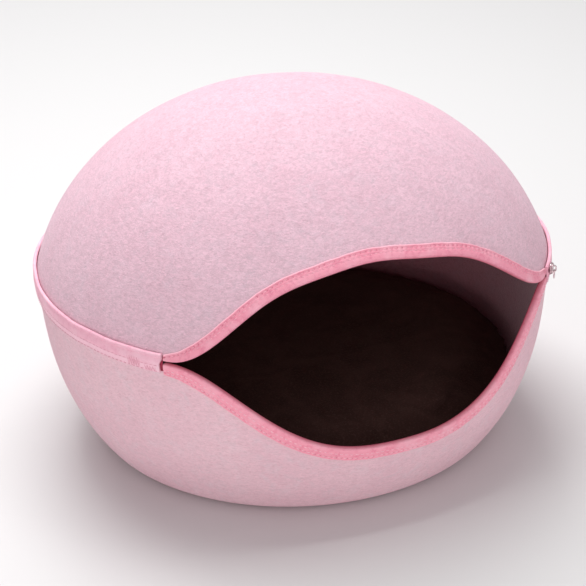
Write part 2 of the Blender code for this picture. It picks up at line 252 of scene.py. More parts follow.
def revolved(rows):
    """Points and faces of a closed shape from level rings of points, with a pole at each end."""
    count, around = rows.shape[:2]
    poles = rows[[0, -1]].mean(1)
    points = np.concatenate([rows.reshape(-1, 3), poles])
    j = np.arange(around)
    first = np.stack([(j + 1) % around, j, np.full(around, count * around)], -1)
    start = (count - 1) * around
    last = np.stack([start + j, start + (j + 1) % around, np.full(around, count * around + 1)], -1)
    return points, [quads(count, around), np.concatenate([first, last])]


def tube(path, radius, around=6):
    """Round thread along paths, an array strip x station x 3: circles square to the path,
    with both ends drawn in."""
    ahead = np.gradient(path, axis=-2)
    ahead /= np.linalg.norm(ahead, axis=-1, keepdims=True)
    out = path * (1, 1, 0)
    out /= np.linalg.norm(out, axis=-1, keepdims=True)
    side = np.cross(ahead, out)
    side /= np.linalg.norm(side, axis=-1, keepdims=True)
    out = np.cross(side, ahead)
    turn = 2 * math.pi * (np.arange(around) + 0.5) / around
    along = np.linspace(-1, 1, path.shape[-2])
    thick = radius * np.maximum(1 - along**6, 0.16) ** 0.5
    circle = np.cos(turn)[:, None] * out[..., None, :] + np.sin(turn)[:, None] * side[..., None, :]
    return path[..., None, :] + thick[:, None, None] * circle


def mark_along(piece, along, across, from_hem):
    """Keeps millimetres along and across a strip, and from its sewn hem, on its points, for its
    weave and the painted shade at its needle holes to follow."""
    mark = piece.data.attributes.new("strip_mm", "FLOAT_VECTOR", "POINT")
    values = np.zeros((len(piece.data.vertices), 3))
    shape = from_hem.shape
    for column, value in enumerate((along, across, from_hem)):
        values[:, column] = np.broadcast_to(value, shape).ravel() * MILLI
    mark.data.foreach_set("vector", values.ravel())


def wander(along, size, *lengths):
    """Slow irregular drift: sines of unlike wavelengths added up, their phases from a fixed seed."""
    phases = np.random.default_rng(len(lengths) + 7).uniform(0, 6.28, len(lengths))
    waves = (np.sin(2 * math.pi * along / length + phase) for length, phase in zip(lengths, phases))
    return size * sum(waves) / len(lengths)


# Materials

def colour(text):
    """Linear colour from an sRGB hex value."""
    value = np.array([int(text[i : i + 2], 16) for i in (0, 2, 4)]) / 255
    linear = np.where(value > 0.04045, ((value + 0.055) / 1.055) ** 2.4, value / 12.92)
    return (*(float(v) for v in linear), 1.0)


def node(tree, kind, inputs=None, **settings):
    """Adds a node with its settings, and gives each named input a value or a link."""
    made = tree.nodes.new(kind)
    for name, value in settings.items():
        setattr(made, name, value)
    for key, value in (inputs or {}).items():
        if isinstance(value, bpy.types.NodeSocket):
            tree.links.new(value, made.inputs[key])
        else:
            made.inputs[key].default_value = value
    return made


def finish(name, **sockets):
    """New material with its shader's constant sockets set, and its node tree and shader."""
    made = bpy.data.materials.new(name)
    made.use_nodes = True
    shader = made.node_tree.nodes["Principled BSDF"]
    for key, value in sockets.items():
        shader.inputs[key.replace("_", " ")].default_value = value
    return made, made.node_tree, shader


def mix(tree, share, first, second, blend="MIX"):
    """Colour between two, each a hex value or a socket."""
    made = node(tree, "ShaderNodeMix", data_type="RGBA", blend_type=blend)
    for key, kind, value in (("Factor", "VALUE", share), ("A", "RGBA", first), ("B", "RGBA", second)):
        socket = next(s for s in made.inputs if s.name == key and s.type == kind)
        if isinstance(value, bpy.types.NodeSocket):
            tree.links.new(value, socket)
        else:
            socket.default_value = colour(value) if isinstance(value, str) else value
    return next(s for s in made.outputs if s.type == "RGBA")


def ramp(tree, value, low, high):
    """0 below low and 1 above high, straight between."""
    made = node(tree, "ShaderNodeMapRange", {"Value": value, "From Min": low, "From Max": high}, clamp=True)
    return made.outputs["Result"]


def noise(tree, vector, size, detail, rough=0.5, bend=0.0):
    """Cloudy value between 0 and 1 whose coarsest patches are about as large as the size."""
    settings = {
        "Vector": vector, "Scale": 1 / size, "Detail": detail, "Roughness": rough, "Distortion": bend,
    }
    return node(tree, "ShaderNodeTexNoise", settings).outputs["Fac"]


def calculate(tree, operation, *values):
    """Result of one sum on values or sockets."""
    return node(tree, "ShaderNodeMath", dict(enumerate(values)), operation=operation).outputs[0]


def roughen(tree, shader, height, strength, distance):
    """Gives the shader a bump that follows a height."""
    bump = node(tree, "ShaderNodeBump", {"Height": height, "Strength": strength, "Distance": distance})
    tree.links.new(bump.outputs["Normal"], shader.inputs["Normal"])


def felt(name, pale, middle, deep, grey, contrast, fuzz=0.22):
    """Needled polyester felt: fibres of four near colours lie tangled, so the eye sees soft flecks
    2 to 5 mm long over slow clouding, and short fuzz that lightens it at grazing angles."""
    made, tree, shader = finish(
        name, Roughness=0.94, Sheen_Weight=fuzz, Sheen_Roughness=0.55, Sheen_Tint=colour("F6DCE4"),
        IOR=1.5, Specular_IOR_Level=0.15,
    )
    place = node(tree, "ShaderNodeTexCoord").outputs["Object"]
    level = node(tree, "ShaderNodeMapping", {"Vector": place, "Scale": (0.86, 0.86, 2.1)}).outputs["Vector"]

    cloud = noise(tree, place, 0.050, 3.0, 0.5)
    patch = noise(tree, place, 0.013, 3.0, 0.6, 0.6)
    fleck = noise(tree, level, 0.0040, 4.0, 0.62, 0.9)
    streak = noise(tree, level, 0.0030, 5.0, 0.7, 2.2)
    tangle = noise(tree, level, 0.0046, 3.0, 0.55, 1.4)
    fibre = noise(tree, level, 0.0021, 3.0, 0.6, 1.6)
    base = mix(tree, ramp(tree, cloud, 0.20, 0.80), middle, pale)
    base = mix(tree, ramp(tree, patch, 0.48, 0.90), base, grey)
    base = mix(tree, ramp(tree, fleck, 0.52, 0.76), base, deep)
    base = mix(tree, ramp(tree, streak, 0.54, 0.78), base, pale)
    tuft = mix(tree, ramp(tree, tangle, 0.36, 0.62), "B8B8B8", "FFFFFF")
    light = mix(tree, ramp(tree, fibre, 0.34, 0.66), "B4B4B4", "FFFFFF")
    base = mix(tree, contrast, base, tuft, "MULTIPLY")
    tree.links.new(mix(tree, contrast, base, light, "MULTIPLY"), shader.inputs["Base Color"])
    roughen(tree, shader, calculate(tree, "ADD", fibre, fleck), 0.55, 0.0009)
    return made


def woven(name, light, body, shade, hole, weave_share=0.25, needle_shade_share=0.0, hem_share=0.0,
          hem_from=1.2, hem_to=0.3, fold=None):
    """Woven polyester tape: the ribs of its weft run across it. Such ribs are about 0.4 mm apart and
    are drawn 1.1 mm apart, so that they show. A little of the thread's gloss stays along them. The
    needle pulls dimples into it between the stitches, and their shade is painted as dark spots. It is
    drawn lighter near its hem, and towards the end of the fold and on the inner leg it is painted a deeper
    red as shade."""
    made, tree, shader = finish(
        name, Roughness=0.7, Sheen_Weight=0.06, Sheen_Roughness=0.4, Sheen_Tint=colour("FFDDE6"),
        IOR=1.5, Specular_IOR_Level=0.3,
    )
    place = node(tree, "ShaderNodeTexCoord").outputs["Object"]
    strip = node(tree, "ShaderNodeAttribute", attribute_name="strip_mm").outputs["Vector"]
    parts = node(tree, "ShaderNodeSeparateXYZ", {"Vector": strip})
    along, across, from_hem = (parts.outputs[axis] for axis in "XYZ")

    def wave(socket, pitch):
        turn = calculate(tree, "MULTIPLY", socket, 2 * math.pi / (pitch * MILLI))
        return calculate(tree, "SINE", turn)

    ribs = calculate(tree, "MULTIPLY", wave(along, 0.0011), wave(across, 0.0009))
    patch = noise(tree, place, 0.0045, 3.0, 0.6, 0.6)
    broad = noise(tree, place, 0.022, 2.0)
    base = mix(tree, ramp(tree, patch, 0.48, 0.70), body, shade)
    base = mix(tree, ramp(tree, broad, 0.50, 0.95), base, light)
    weave = mix(tree, ramp(tree, ribs, -0.9, 0.6), "C4B4B8", "FFFFFF")
    base = mix(tree, weave_share, base, weave, "MULTIPLY")
    # Towards the end of the fold and on the inner leg the tape turns deep red: painted shade where the fold
    # turns into the dark.
    if fold:
        base = mix(tree, ramp(tree, across, -3.0, -8.5), base, fold)
    if hem_share:
        hem = calculate(tree, "MULTIPLY", ramp(tree, from_hem, hem_from, hem_to), hem_share)
        base = mix(tree, hem, base, light)
    # Dark spots between the stitches along the row by the hem: painted shade in the needle dimples.
    if needle_shade_share:
        aside = calculate(tree, "SUBTRACT", from_hem, HEM_TO_STITCH * MILLI)
        where = ramp(tree, calculate(tree, "ABSOLUTE", aside), 1.0, 0.3)
        drift = noise(tree, place, 0.006, 2.0)
        strength = calculate(tree, "MULTIPLY", where, ramp(tree, drift, 0.25, 0.6))
        painted_dimple_shade = ramp(tree, wave(along, STITCH_PITCH), -0.5, 0.7)
        painted_dimple_shade = calculate(tree, "MULTIPLY", painted_dimple_shade, strength)
        base = mix(tree, calculate(tree, "MULTIPLY", painted_dimple_shade, needle_shade_share), base, hole)
    tree.links.new(base, shader.inputs["Base Color"])
    roughen(tree, shader, ribs, 0.30, 0.00025)
    return made


def thread(name, body, shade):
    """Spun polyester thread: two plies twisted, so fine light and dark bands run along each stitch."""
    made, tree, shader = finish(name, Roughness=0.55, Sheen_Weight=0.15, IOR=1.5)
    place = node(tree, "ShaderNodeTexCoord").outputs["Object"]
    ply = noise(tree, place, 0.0008, 2.0)
    tree.links.new(mix(tree, ramp(tree, ply, 0.35, 0.65), body, shade), shader.inputs["Base Color"])
    return made


def plated(name):
    """Nickel plate on a zinc casting: bright, with a pink tint in its colour that is a painted reflection
    of the felt, fine tumbling scratches, and darker and lighter patches at random."""
    made, tree, shader = finish(name, Metallic=1.0)
    place = node(tree, "ShaderNodeTexCoord").outputs["Object"]
    tumbled = noise(tree, place, 0.0012, 5.0, 0.7)
    # Both colours carry a pink tint: painted reflection of the felt.
    base = mix(tree, ramp(tree, tumbled, 0.38, 0.62), "A3888E", "F0DADD")
    tree.links.new(base, shader.inputs["Base Color"])
    rough = node(tree, "ShaderNodeMapRange", {"Value": tumbled, "To Min": 0.20, "To Max": 0.42})
    tree.links.new(rough.outputs["Result"], shader.inputs["Roughness"])
    roughen(tree, shader, tumbled, 0.12, 0.0001)
    return made


def nylon(name, body, shade):
    """Nylon filament bent into coil teeth: smooth and a little translucent, with faint draw lines."""
    made, tree, shader = finish(name, Roughness=0.34, IOR=1.53)
    place = node(tree, "ShaderNodeTexCoord").outputs["Object"]
    line = noise(tree, place, 0.0010, 3.0)
    tree.links.new(mix(tree, ramp(tree, line, 0.4, 0.7), body, shade), shader.inputs["Base Color"])
    return made


def brushed_cloth(name, pile, body, deep):
    """Brushed polyester cloth: a short nap laid in soft patches, so it turns lighter and darker
    every few centimetres, with fine fibre grain between."""
    made, tree, shader = finish(
        name, Roughness=0.95, Sheen_Weight=0.55, Sheen_Roughness=0.5, Sheen_Tint=colour("6E5148"),
        IOR=1.5, Specular_IOR_Level=0.1,
    )
    place = node(tree, "ShaderNodeTexCoord").outputs["Object"]
    nap = noise(tree, place, 0.035, 4.0, 0.5, 0.8)
    grain = noise(tree, place, 0.0016, 4.0, 0.7)
    base = mix(tree, ramp(tree, nap, 0.35, 0.66), deep, body)
    base = mix(tree, ramp(tree, grain, 0.50, 0.75), base, pile)
    tree.links.new(base, shader.inputs["Base Color"])
    roughen(tree, shader, grain, 0.5, 0.0008)
    return made


# Felt shells

def line_inside(piece, outer_rows, rows, around):
    """Gives the faces of the inner grid and its pole the piece's second material, whose felt is darkened as
    painted shade.
    """
    index = np.zeros(len(piece.data.polygons), dtype=np.int32)
    index[outer_rows * around : (rows - 1) * around] = 1
    index[-around:] = 1
    piece.data.polygons.foreach_set("material_index", index)


def make_dome(material, inside):
    """Outer and inner face of the dome, each a grid of angle by share of the way from the cut edge
    to the top, joined by the cut edge."""
    angles = full_turn(AROUND)
    share = np.concatenate([[0, 0.012, 0.024], np.linspace(0.04, 0.992, 66)])[:, None]
    full = HEIGHT - ZIP_HEIGHT + DOME_LEAN
    start = np.arcsin(((brow(angles) + DOME_LEAN) / full) ** (DOME_POWER / 2))
    turn = start + (math.pi / 2 - start) * share
    heights = full * np.sin(turn) ** (2 / DOME_POWER) - DOME_LEAN
    outer = on_wall(angles, heights, 0.0)
    inner = on_wall(angles, heights, -FELT)
    points, faces = revolved(np.concatenate([outer[::-1], inner]))
    piece = add_piece("dome_felt", points, faces, [material, inside], "dome_shell")
    line_inside(piece, len(outer), len(outer) + len(inner), angles.size)


def base_curve(share):
    """Rounded edge from the wall to the base: a quadratic curve whose middle point is where the
    wall's slope would meet the floor. Gives radius, height and the felt's inward normal."""
    step = 0.001
    wall = float(bowl_profile(ZIP_HEIGHT - BASE_ROUND))
    slope = (wall - float(bowl_profile(ZIP_HEIGHT - BASE_ROUND + step))) / step
    corner = wall - slope * BASE_ROUND
    flat = corner - (wall - corner + BASE_ROUND) * BASE_SPREAD
    radius = (1 - share) ** 2 * wall + 2 * share * (1 - share) * corner + share**2 * flat
    height = (1 - share) ** 2 * BASE_ROUND
    along = 2 * (1 - share) * (corner - wall) + 2 * share * (flat - corner)
    down = -2 * (1 - share) * BASE_ROUND
    length = np.sqrt(along**2 + down**2)
    return radius, height, down / length, -along / length


def ring(angles, radius, height):
    """Points round level circles, one for each radius."""
    return in_space(radius[:, None], angles, height[:, None])


def make_bowl(material, inside):
    """Wall by share of the way from the cut edge to the foot, then the rounded edge, then the flat
    base: outer face and inner face, joined by the cut edge."""
    angles = full_turn(AROUND)
    share = np.concatenate([[0, 0.012, 0.024], np.linspace(0.04, 1, 52)])[:, None]
    edge = lip(angles)
    heights = edge + (BASE_ROUND - ZIP_HEIGHT - edge) * share
    radius, height, inward, up = base_curve(np.linspace(0, 1, 11)[1:])
    floor = radius[-1] * np.array([0.75, 0.5, 0.25, 0.08])
    level = np.zeros(4)
    outer = [on_wall(angles, heights, 0.0), ring(angles, radius, height), ring(angles, floor, level)]
    inner = [
        on_wall(angles, heights, -FELT),
        ring(angles, radius + FELT * inward, height + FELT * up),
        ring(angles, floor, level + FELT),
    ]
    outer, inner = np.concatenate(outer), np.concatenate(inner)
    points, faces = revolved(np.concatenate([outer[::-1], inner]))
    piece = add_piece("bowl_felt", points, faces, [material, inside], "bowl_shell")
    line_inside(piece, len(outer), len(outer) + len(inner), angles.size)


# Bindings round the opening

def over_felt(edge, side, angles, away, lift):
    """Points a distance from a cut edge over the felt, square to the edge, lifted off the felt."""
    step = 1e-4
    height = edge(angles)
    radius = wall_radius(height)
    grow = (wall_radius(height + step) - wall_radius(height - step)) / (2 * step)
    steep = (edge(angles + step) - edge(angles - step)) / (2 * step)
    run = steep * np.sqrt(1 + grow**2) / radius
    lean = 1 / np.sqrt(1 + run**2)
    turn = -away * side * lean * run / radius
    up = away * side * lean / np.sqrt(1 + grow**2)
    return on_wall(angles + turn, height + up, lift)


def edge_stations(edge):
    """Angles along a cut edge at even distances, and the distance of each from the first."""
    fine = np.linspace(-CORNER + CORNER_INSET, CORNER - CORNER_INSET, 4001)
    path = on_wall(fine, edge(fine), 0.0)
    length = np.concatenate([[0], np.cumsum(np.linalg.norm(np.diff(path, axis=0), axis=1))])
    along = np.linspace(0, length[-1], int(length[-1] / STATION) + 1)
    return np.interp(along, length, fine), along


def binding_relief(along, away, width, second):
    """Height of the tape's outer leg over a flat tape: a soft crown, a rolled hem, and grooves that
    the stitches pull in and that pucker between them. One row of stitches follows the hem, and the
    second the cut edge where the tape is wide enough."""
    crown = 0.00032 * (1 - (2 * away / width - 1) ** 2)
    hem = 0.00034 * np.exp(-(((away - width + 0.0007) / 0.0006) ** 2))
    near = np.exp(-(((away - width + HEM_TO_STITCH) / 0.0006) ** 2))
    wide = np.exp(-(((away - width + HEM_TO_STITCH) / 0.0019) ** 2))
    room = np.clip((width - second - HEM_TO_STITCH) / 0.0010, 0, 1)
    near = near + room * np.exp(-(((away - second) / 0.0006) ** 2))
    wide = wide + room * np.exp(-(((away - second) / 0.0019) ** 2))
    pucker = 0.00013 * wide * np.cos(2 * math.pi * along / STITCH_PITCH)
    ripple = wander(along + 0.7 * away, 0.00016, 0.0061, 0.0089, 0.0173)
    return crown + hem - 0.00045 * near + pucker + ripple * np.clip(away / width, 0, 1)


def leg_width(widths, angles, along):
    """Width of a leg at every station, with the slight wander of a hand-guided hem."""
    wide, narrow = widths
    width = wide - (wide - narrow) * np.abs(angles / CORNER) ** BINDING_TAPER
    return width + wander(along, 0.00030, 0.019, 0.031, 0.074)


def stitch_stations(last):
    """Share of the way along a stitch at each of its stations, and where these lie along the tape, for
    all stitches up to a last place."""
    share = np.linspace(0, 1, STITCH_STATIONS)[None]
    return share, np.arange(0.003, last, STITCH_PITCH)[:, None] + STITCH_LENGTH * share


def make_binding(name, edge, side, widths, material, stitch_material, solid, second):
    """Tape folded over a cut edge. Its section runs from the outer hem down the outer leg, round the
    fold as half a squared ellipse, up the inner leg, and back along the felt, and is carried along the
    edge. Side is 1 where the felt lies above its edge and -1 below, and second places a stitched row."""
    angles, along = edge_stations(edge)
    angles, along = angles[:, None], along[:, None]
    width = leg_width(widths, angles, along)
    outside, inside = GAP, -FELT - INNER_GAP
    middle, half = (outside + inside) / 2, (outside - inside) / 2
    leg = (1 - np.linspace(0, 1, 15) ** 1.15)[None]
    hem_round = np.clip((1 - leg) / 0.06, 0.25, 1) ** 0.5
    outer_away = leg * width
    outer_lift = outside + TAPE * hem_round + binding_relief(along, outer_away, width, second)
    inner_lift = inside - TAPE * hem_round + 0 * width
    bend = np.linspace(0, math.pi, 11)[1:-1][None]
    fold_lift = middle + (half + TAPE) * power(np.cos(bend), 0.8) + 0 * width
    fold_reach = (GAP + TAPE) * np.sin(bend) ** 0.8 + 0 * width
    short = 0.001
    off_edge = over_felt(edge, side, angles, 0.0, 0.0) - over_felt(edge, side, angles, short, 0.0)
    off_edge = off_edge / short

    def fold(lift, reach):
        return over_felt(edge, side, angles, 0.0, lift) + reach[..., None] * off_edge

    face = [
        over_felt(edge, side, angles, outer_away, outer_lift),
        fold(fold_lift, fold_reach),
        over_felt(edge, side, angles, outer_away[:, ::-1], inner_lift[:, ::-1]),
    ]
    lining = [
        over_felt(edge, side, angles, outer_away, inside + 0 * width),
        fold(middle - half * np.cos(bend) + 0 * width, GAP * np.sin(bend) ** 0.5 + 0 * width),
        over_felt(edge, side, angles, outer_away[:, ::-1], outside + 0 * width),
    ]
    section = np.concatenate([np.concatenate(face, 1), np.concatenate(lining, 1)], 1)
    piece = add_piece(
        name, section.reshape(-1, 3), [capped(section)], [material], solid, 60
    )
    # Marks across: the outer leg, then a millimetre for each point round the fold, then the inner leg
    across = np.concatenate([outer_away[0], -0.001 * np.arange(1, 10), -0.009 - outer_away[0, ::-1]])
    across = np.concatenate([across, across[::-1]])
    from_hem = np.full(section.shape[:2], FAR_FROM_HEM)
    from_hem[:, : leg.size] = width - outer_away
    mark_along(piece, along, across, from_hem)

    share, where = stitch_stations(along[-1, 0] - 0.003)
    here = np.interp(where, along[:, 0], angles[:, 0])
    wide = leg_width(widths, here, where)
    roomy = wide.min(axis=1) > second + HEM_TO_STITCH + 0.0010
    paths = []
    for line, kept in ((wide - HEM_TO_STITCH, np.full(len(wide), True)), (second + 0 * wide, roomy)):
        high = outside + TAPE + binding_relief(where, line, wide, second)
        high = high + 0.00042 * np.sin(math.pi * share) ** 0.6 - 0.00020
        paths.append(over_felt(edge, side, here[kept], line[kept], high[kept]))
    points, faces = strips(tube(np.concatenate(paths), THREAD))
    stitches = add_piece(name + "_stitches", points, [faces], [stitch_material], None, 80)


# Zip and its cover

def round_back(step, start, end):
    """Angles along the zip from the right corner round the back, and the distance of each."""
    along = np.arange(0, (end - start) * RADIUS, step)
    return start + along / RADIUS, along


def cover_rise(along):
    """Slow wander of the whole cover up and down."""
    return wander(along, 0.00030, 0.043, 0.081)


def make_cover(material, stitch_material):
    """Zip cover: a tape sewn to the bowl along its lower strip, standing a little off the dome at its
    free upper edge, which is rolled into a thin ridge. Its section is carried round the back."""
    angles, along = round_back(STATION, COVER_START, COVER_END)
    angles, along = angles[:, None], along[:, None]
    # Height and lift of the outer face in millimetres, from the lower hem to the foot of the ridge
    face = np.array([
        (-9.00, 0.45), (-8.90, 1.05), (-8.50, 1.55), (-7.90, 1.78), (-6.80, 1.90), (-5.40, 1.98),
        (-4.20, 2.04), (-3.20, 2.06), (-2.60, 1.98), (-2.20, 1.76), (-1.80, 2.00), (-1.20, 2.16),
        (0.00, 2.28), (1.40, 2.36), (2.80, 2.42), (3.90, 2.42), (4.50, 2.36),
    ]) / MILLI
    turn = np.radians(np.linspace(-55, 150, 12))
    ridge = np.stack([0.0062 + 0.0016 * np.sin(turn), 0.0022 + 0.0016 * np.cos(turn)], -1)
    outer = np.concatenate([face, ridge])
    low = np.interp(outer[:, 0], (-0.009, -0.002, 0.004, 0.0078), (0.00030, 0.00034, 0.00052, 0.00080))
    lining = np.stack([np.minimum(outer[:, 0], 0.0070), low], -1)
    outer, lining = outer[None], lining[None]
    seam = np.exp(-(((outer[..., 0] - COVER_SEAM) / 0.0016) ** 2))
    pucker = 0.00012 * seam * np.cos(2 * math.pi * along / STITCH_PITCH)
    ripple = wander(along + 0.5 * outer[..., 0], 0.00014, 0.0067, 0.0113, 0.0290)
    # At the left end the ridge runs on past the lower strip, which leaves the notch over the zip
    reach = 0.0022 * np.clip((outer[..., 0] + 0.001) / 0.004, 0, 1) / RADIUS
    turned = angles + reach * np.clip((along - along[-1] + 0.012) / 0.012, 0, 1)
    free = np.clip(outer[..., 0] / 0.006, 0, 1)
    stand = wander(along, 0.00035, 0.061, 0.097, 0.173) * free
    rise = cover_rise(along)
    over = on_wall(turned, outer[..., 0] + rise, outer[..., 1] + pucker + ripple + np.maximum(stand, -0.0002))
    under = on_wall(turned, lining[..., 0] + rise, lining[..., 1] + np.maximum(stand * 0.8, -0.0001))
    section = np.concatenate([over, under[:, ::-1]], 1)
    piece = add_piece(
        "zip_cover_tape", section.reshape(-1, 3), [capped(section)], [material], "zip_cover", 60
    )
    across = np.concatenate([outer[0, :, 0], -0.02 - outer[0, ::-1, 0]])
    over_hem = np.concatenate([outer[0, :, 0] + COVER_BELOW, np.full(outer.shape[1], FAR_FROM_HEM)])
    mark_along(piece, along, across, np.broadcast_to(over_hem, section.shape[:2]))

    rows = []
    share, where = stitch_stations(along[-1, 0] - 0.004)
    for level, lift in ((COVER_SEAM, 0.00188), (COVER_HEM_ROW, 0.00196)):
        high = lift + 0.00036 * np.sin(math.pi * share) ** 0.6 - 0.00012
        rows.append(on_wall(COVER_START + where / RADIUS, level + cover_rise(where), high))
    points, faces = strips(tube(np.concatenate(rows), THREAD))
    stitches = add_piece("zip_cover_stitches", points, [faces], [stitch_material], None, 80)

    # Bar tacks that close the cover's left end, each a zigzag of thread
    tacks = []
    for start, width, low_end, high_end, strokes in TACKS:
        zigzag = np.linspace(0, strokes, strokes * 8 + 1)
        swing = np.abs((zigzag % 2) - 1)
        turned = COVER_END - (start + width * zigzag / strokes) / RADIUS
        level = low_end + (high_end - low_end) * swing
        lift = np.interp(level, outer[0, :20, 0], outer[0, :20, 1]) + 0.00022
        points, faces = strips(tube(on_wall(turned, level, lift)[None], THREAD * 1.05))
        tacks.append((points, [faces]))
    points, faces = joined(tacks)
    bars = add_piece("zip_cover_tacks", points, faces, [stitch_material], None, 80)


def make_zip(tape_material, tooth_material):
    """Zip: one woven tape behind the cover, and coil teeth in the slot between the two shells. Each
    tooth is a flat loop leaning along the zip."""
    angles, along = round_back(0.0026, CORNER - 0.007, 2 * math.pi - CORNER + 0.007)
    angles, along = angles[:, None], along[:, None]
    height = np.array([-0.0074, -0.004, -0.001, 0.0015, 0.004, 0.0054, 0.0064])[None]
    over = on_wall(angles, height, 0.00024 + 0 * along)
    under = on_wall(angles, height, 0.00006 + 0 * along)
    section = np.concatenate([over, under[:, ::-1]], 1)
    tape = add_piece(
        "zip_tape", section.reshape(-1, 3), [capped(section)], [tape_material], None, 60
    )
    across = np.concatenate([height[0], height[0, ::-1]])
    mark_along(tape, along, across, np.full(section.shape[:2], FAR_FROM_HEM))

    start, _ = round_back(TOOTH_PITCH, CORNER + 0.003, 2 * math.pi - CORNER - 0.003)
    start = start[:, None]
    step = np.linspace(-1, 1, 6)[None]
    level = 0.0002 + 0.0010 * step
    out = RADIUS - 0.0018 + 0.0007 * np.cos(math.pi * step / 2)
    turned = start + 0.0005 / RADIUS * step * np.where(np.arange(len(start)) % 2, 1, -1)[:, None]
    points, faces = strips(tube(in_space(out, turned, ZIP_HEIGHT + level), TOOTH, 5))
    teeth = add_piece("zip_teeth", points, [faces], [tooth_material], "zip_chain", 80)


def slider_frame():
    """Origin and axes at the slider: along the zip, away from the bed, and up."""
    out = np.array([math.sin(SLIDER_ANGLE), -math.cos(SLIDER_ANGLE), 0.0])
    ahead = np.array([math.cos(SLIDER_ANGLE), math.sin(SLIDER_ANGLE), 0.0])
    origin = RADIUS * out + np.array([0, 0, ZIP_HEIGHT + SLIDER_LIFT])
    return origin, np.stack([ahead, out, np.array([0, 0, 1.0])])


def pillow(centre, half, square, rows=16, around=32, waist=0.0):
    """Closed rounded block: half sizes times signed powers of cosines and sines of two angles, a low
    power making it squarer, and drawn in at its middle by the waist."""
    rise = np.linspace(-math.pi / 2, math.pi / 2, rows + 2)[1:-1, None]
    turn = full_turn(around)
    x = power(np.cos(rise), square) * power(np.cos(turn), square)
    y = power(np.cos(rise), square) * power(np.sin(turn), square)
    z = power(np.sin(rise), square) + 0 * turn
    x = x * (1 - waist * (1 - z**2))
    return np.stack([x * half[0], y * half[1], z * half[2]], -1) + np.asarray(centre)


def plate(outline, hole, thick, around=12):
    """Flat plate with a hole: a rounded section carried round it, its inner side on the hole's
    outline and its outer side on the plate's. Its thickness is the middle coordinate."""
    turn = np.linspace(0, 2 * math.pi, around, endpoint=False)
    share = 0.5 + 0.5 * power(np.cos(turn), 0.55)
    depth = thick / 2 * power(np.sin(turn), 0.55)
    flat = hole[:, None] + (outline - hole)[:, None] * share[None, :, None]
    return np.stack([flat[..., 0], np.broadcast_to(depth, flat.shape[:2]), flat[..., 1]], -1)


def make_slider(material):
    """Slider body of two crowned blocks, one on the other, a bridge swept as an arch over its face, and
    the pull that hangs from the bridge, a flat plate with a hole."""
    origin, axes = slider_frame()
    blocks = [
        pillow((0, SLIDER_BACK + 0.0009, 0), (0.0045, 0.0009, 0.0049), 0.42, waist=0.10),
        pillow((0, SLIDER_BACK + 0.0020, 0), (0.0040, 0.0009, 0.0044), 0.5, waist=0.14),
    ]
    step = np.linspace(-1, 1, 25)
    arch = np.stack([0 * step, SLIDER_FACE - 0.0006 + 0.0030 * (1 - step**4), 0.0030 * power(step, 0.8)], -1)
    ahead = np.gradient(arch, axis=0)
    ahead /= np.linalg.norm(ahead, axis=1, keepdims=True)
    side = np.array([1.0, 0, 0])
    rise = np.cross(ahead, side)
    turn = np.linspace(0, 2 * math.pi, 10, endpoint=False)
    wide = 0.00105 * power(np.cos(turn), 0.6)[None, :, None] * side
    thick = 0.00050 * power(np.sin(turn), 0.6)[None, :, None] * rise[:, None]
    bridge = arch[:, None] + (wide + thick)
    parts = [revolved(block) for block in blocks] + [(bridge.reshape(-1, 3), [capped(bridge)])]
    points, faces = joined(parts)
    add_piece("zip_slider_body", origin + points @ axes, faces, [material], "zip_slider", 50)

    # Outlines of the pull and its hole, both rounded, with the hole near the top
    turn = np.linspace(0, 2 * math.pi, 48, endpoint=False)
    across, up = power(np.cos(turn), 0.6), power(np.sin(turn), 0.7)
    middle = PULL_TOP - PULL_LENGTH / 2
    outline = np.stack([PULL_HALF_WIDTH * across, middle + PULL_LENGTH / 2 * up], -1)
    hole = np.stack([0.0014 * across, PULL_TOP - 0.0021 + 0.0012 * up], -1)
    section = plate(outline, hole, 0.0010) + np.array([0, SLIDER_FACE + PULL_STAND, 0])
    place = origin + section.reshape(-1, 3) @ axes
    faces = quads(*section.shape[:2], wrap_rows=True)
    add_piece("zip_pull_plate", place, [faces], [material], "zip_pull", 50)


# Cushion

def cushion_rows(shrink):
    """Level rings of the cushion: a flat underside, a side that follows the felt and tucks in under
    the rim, and an upper face that is a squared-off arch."""
    angles = full_turn(96)
    bottom = FELT + GAP
    rim = float(bowl_profile(ZIP_HEIGHT - CUSHION_RIM)) - FELT - 2 * CUSHION_CLEAR - shrink
    foot = float(bowl_profile(ZIP_HEIGHT - BASE_ROUND)) - FELT - CUSHION_FOOT - shrink
    height = np.linspace(bottom + 0.010, CUSHION_RIM - 0.004, 8)
    side = bowl_profile(ZIP_HEIGHT - height) - FELT - 2 * CUSHION_CLEAR - shrink
    side = side - CUSHION_TUCK * ((CUSHION_RIM - height) / CUSHION_RIM) ** 2
    turn = np.linspace(0, math.pi / 2, 22)[1:-1]
    top = rim * np.cos(turn) ** 0.42
    rise = CUSHION_RIM + (CUSHION_TOP - CUSHION_RIM - shrink) * np.sin(turn) ** 1.1
    radius = np.concatenate([[0.1 * foot, 0.5 * foot, foot], side, top])
    level = np.concatenate([[bottom, bottom, bottom + 0.001], height, rise])
    return ring(angles, radius, level)


def evaluated(piece):
    """New mesh of an object with its modifiers worked out."""
    return bpy.data.meshes.new_from_object(piece.evaluated_get(bpy.context.evaluated_depsgraph_get()))


def coordinates(mesh):
    """Points of a mesh as an array."""
    values = np.empty(len(mesh.vertices) * 3)
    mesh.vertices.foreach_get("co", values)
    return values.reshape(-1, 3)


